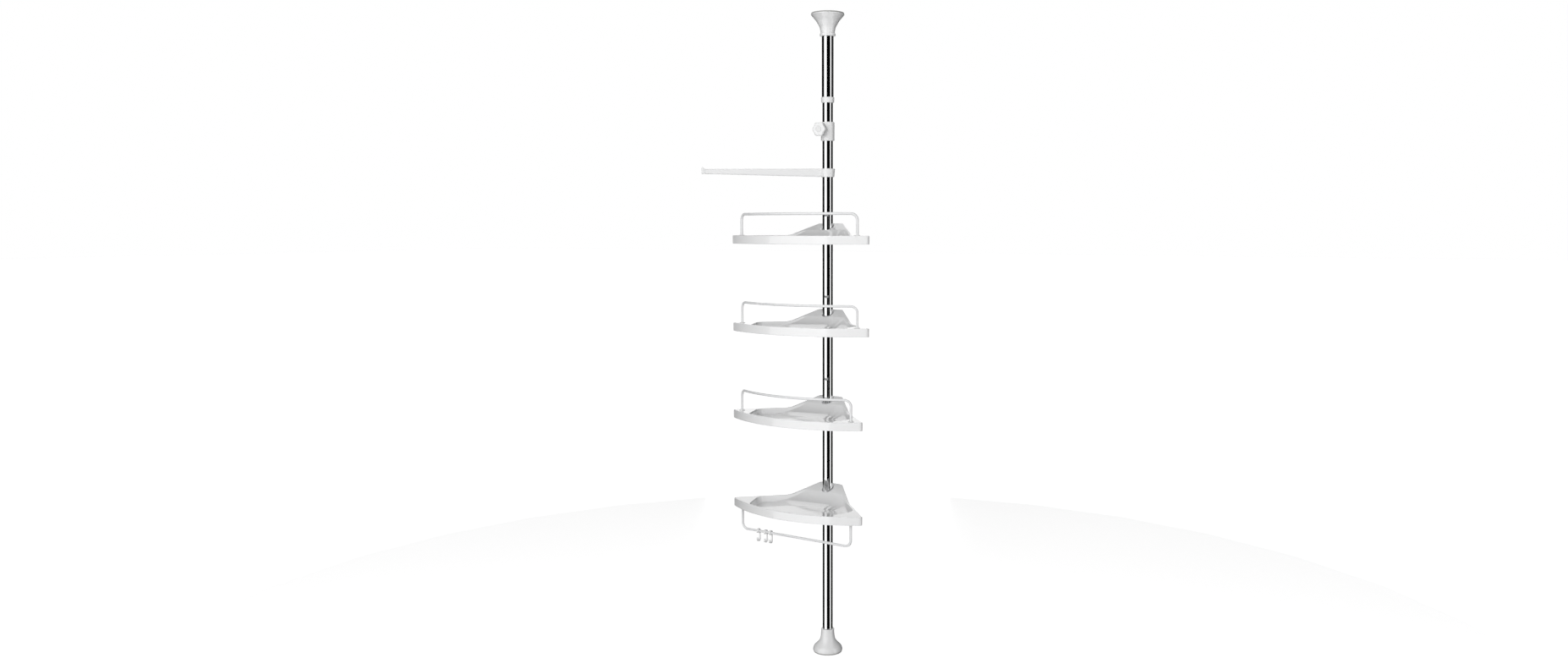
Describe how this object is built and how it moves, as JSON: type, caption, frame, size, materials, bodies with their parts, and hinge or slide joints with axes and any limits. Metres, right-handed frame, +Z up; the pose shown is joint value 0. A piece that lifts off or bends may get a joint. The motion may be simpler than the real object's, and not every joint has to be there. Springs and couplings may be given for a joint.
{
  "type": "shower caddy",
  "caption": "Floor-to-ceiling tension pole with swivelling corner shelves, wire guard rails, a swinging towel arm, a towel rail with hooks, and a clamp collar.",
  "frame": {"origin": "centre of the foot pad's underside, where the pole's axis meets the floor", "axes": "+Z up along the pole; -Y toward the long open fronts of the shelves; +X to the right seen from the front"},
  "size_m": [0.4264, 0.2343, 1.538],
  "materials": {
    "gloss_white": "glossy white moulded plastic",
    "chromed_tube": "polished steel tube",
    "pad_rubber": "matt light grey rubber",
    "zinc_steel": "zinc plated steel",
    "grip_plastic": "satin white plastic",
    "coated_wire": "steel wire with a smooth white coating"
  },
  "bodies": {
    "mast": {"foot_pad": "pad_rubber", "foot_cone": "gloss_white", "mast_tube_lower": "chromed_tube", "mast_joint_lower": "zinc_steel", "mast_tube_middle": "chromed_tube", "mast_joint_upper": "zinc_steel", "mast_tube_upper": "chromed_tube", "telescope_bush": "grip_plastic"},
    "upper_pole": {"outer_tube": "chromed_tube", "telescope_ring": "gloss_white", "spring_seat": "grip_plastic", "tension_spring": "zinc_steel"},
    "cap": {"ceiling_cap": "gloss_white", "ceiling_pad": "pad_rubber", "cap_stem": "zinc_steel"},
    "lock_slide": {"lock_bushes": "grip_plastic"},
    "lock_body": {"lock_collar": "gloss_white", "lock_nut": "zinc_steel"},
    "lock_brake": {"lock_shoe": "pad_rubber"},
    "lock_handle": {"lock_knob": "gloss_white", "lock_screw": "zinc_steel", "knob_cap": "gloss_white"},
    "arm_grip": {"arm_wedge": "grip_plastic"},
    "arm": {"towel_arm": "gloss_white", "arm_tip": "gloss_white"},
    "shelf_1_grip": {"shelf_1_wedge": "grip_plastic"},
    "shelf_1": {"shelf_1_tray": "gloss_white", "shelf_1_rail": "coated_wire", "shelf_1_rail_plugs": "grip_plastic"},
    "shelf_2_grip": {"shelf_2_wedge": "grip_plastic"},
    "shelf_2": {"shelf_2_tray": "gloss_white", "shelf_2_rail": "coated_wire", "shelf_2_rail_plugs": "grip_plastic"},
    "shelf_3_grip": {"shelf_3_wedge": "grip_plastic"},
    "shelf_3": {"shelf_3_tray": "gloss_white", "shelf_3_rail": "coated_wire", "shelf_3_rail_plugs": "grip_plastic"},
    "shelf_4_grip": {"shelf_4_wedge": "grip_plastic"},
    "shelf_4": {"shelf_4_tray": "gloss_white", "towel_rail": "coated_wire", "shelf_4_rail_plugs": "grip_plastic"},
    "first_hook": {"hook_1": "gloss_white"},
    "second_hook": {"hook_2": "gloss_white"},
    "third_hook": {"hook_3": "gloss_white"}
  },
  "joints": [
    {"name": "upper_pole_slide", "type": "slide", "parent": "mast", "child": "upper_pole", "axis": [0, 0, 1], "range_m": [-0.021, 0.06]},
    {"name": "cap_spring_slide", "type": "slide", "parent": "upper_pole", "child": "cap", "axis": [0, 0, 1], "range_m": [-0.022, 0], "stiffness_N_per_m": 3000, "springref_m": 0.01, "deforming": ["tension_spring"]},
    {"name": "lock_height", "type": "slide", "parent": "mast", "child": "lock_slide", "axis": [0, 0, 1], "range_m": [-0.03, 0.02]},
    {"name": "lock_swivel", "type": "hinge", "parent": "lock_slide", "child": "lock_body", "pos_m": [0, 0, 1.263], "axis": [0, 0, 1], "range_deg": [-90, 90]},
    {"name": "brake_slide", "type": "slide", "parent": "lock_body", "child": "lock_brake", "axis": [0, -1, 0], "range_m": [0, 0.00125]},
    {"name": "knob_turn", "type": "hinge", "parent": "lock_brake", "child": "lock_handle", "pos_m": [0, -0.038, 1.266], "axis": [0, -1, 0], "range_deg": [0, 360]},
    {"name": "arm_height", "type": "slide", "parent": "mast", "child": "arm_grip", "axis": [0, 0, 1], "range_m": [-0.02, 0.02]},
    {"name": "arm_swing", "type": "hinge", "parent": "arm_grip", "child": "arm", "pos_m": [0, 0, 1.166], "axis": [0, 0, 1], "range_deg": [-90, 90]},
    {"name": "shelf_1_height", "type": "slide", "parent": "mast", "child": "shelf_1_grip", "axis": [0, 0, 1], "range_m": [-0.04, 0.04]},
    {"name": "shelf_1_swivel", "type": "hinge", "parent": "shelf_1_grip", "child": "shelf_1", "pos_m": [0, 0, 1.019], "axis": [0, 0, 1], "range_deg": [-60, 60]},
    {"name": "shelf_2_height", "type": "slide", "parent": "mast", "child": "shelf_2_grip", "axis": [0, 0, 1], "range_m": [-0.04, 0.04]},
    {"name": "shelf_2_swivel", "type": "hinge", "parent": "shelf_2_grip", "child": "shelf_2", "pos_m": [0, 0, 0.813], "axis": [0, 0, 1], "range_deg": [-60, 60]},
    {"name": "shelf_3_height", "type": "slide", "parent": "mast", "child": "shelf_3_grip", "axis": [0, 0, 1], "range_m": [-0.04, 0.04]},
    {"name": "shelf_3_swivel", "type": "hinge", "parent": "shelf_3_grip", "child": "shelf_3", "pos_m": [0, 0, 0.6025], "axis": [0, 0, 1], "range_deg": [-60, 60]},
    {"name": "shelf_4_height", "type": "slide", "parent": "mast", "child": "shelf_4_grip", "axis": [0, 0, 1], "range_m": [-0.04, 0.04]},
    {"name": "shelf_4_swivel", "type": "hinge", "parent": "shelf_4_grip", "child": "shelf_4", "pos_m": [0, 0, 0.3875], "axis": [0, 0, 1], "range_deg": [-60, 60]},
    {"name": "first_hook_swing", "type": "hinge", "parent": "shelf_4", "child": "first_hook", "pos_m": [-0.11543, -0.13115, 0.316], "axis": [0.9976, -0.0698, 0], "range_deg": [-40, 40]},
    {"name": "second_hook_swing", "type": "hinge", "parent": "shelf_4", "child": "second_hook", "pos_m": [-0.09448, -0.13261, 0.316], "axis": [0.9976, -0.0698, 0], "range_deg": [-40, 40]},
    {"name": "third_hook_swing", "type": "hinge", "parent": "shelf_4", "child": "third_hook", "pos_m": [-0.08002, -0.13362, 0.316], "axis": [0.9976, -0.0698, 0], "range_deg": [-40, 40]}
  ],
  "couplings": [
    {"joint": "brake_slide", "follows": "knob_turn", "m_per_rad": 0.0001989}
  ]
}
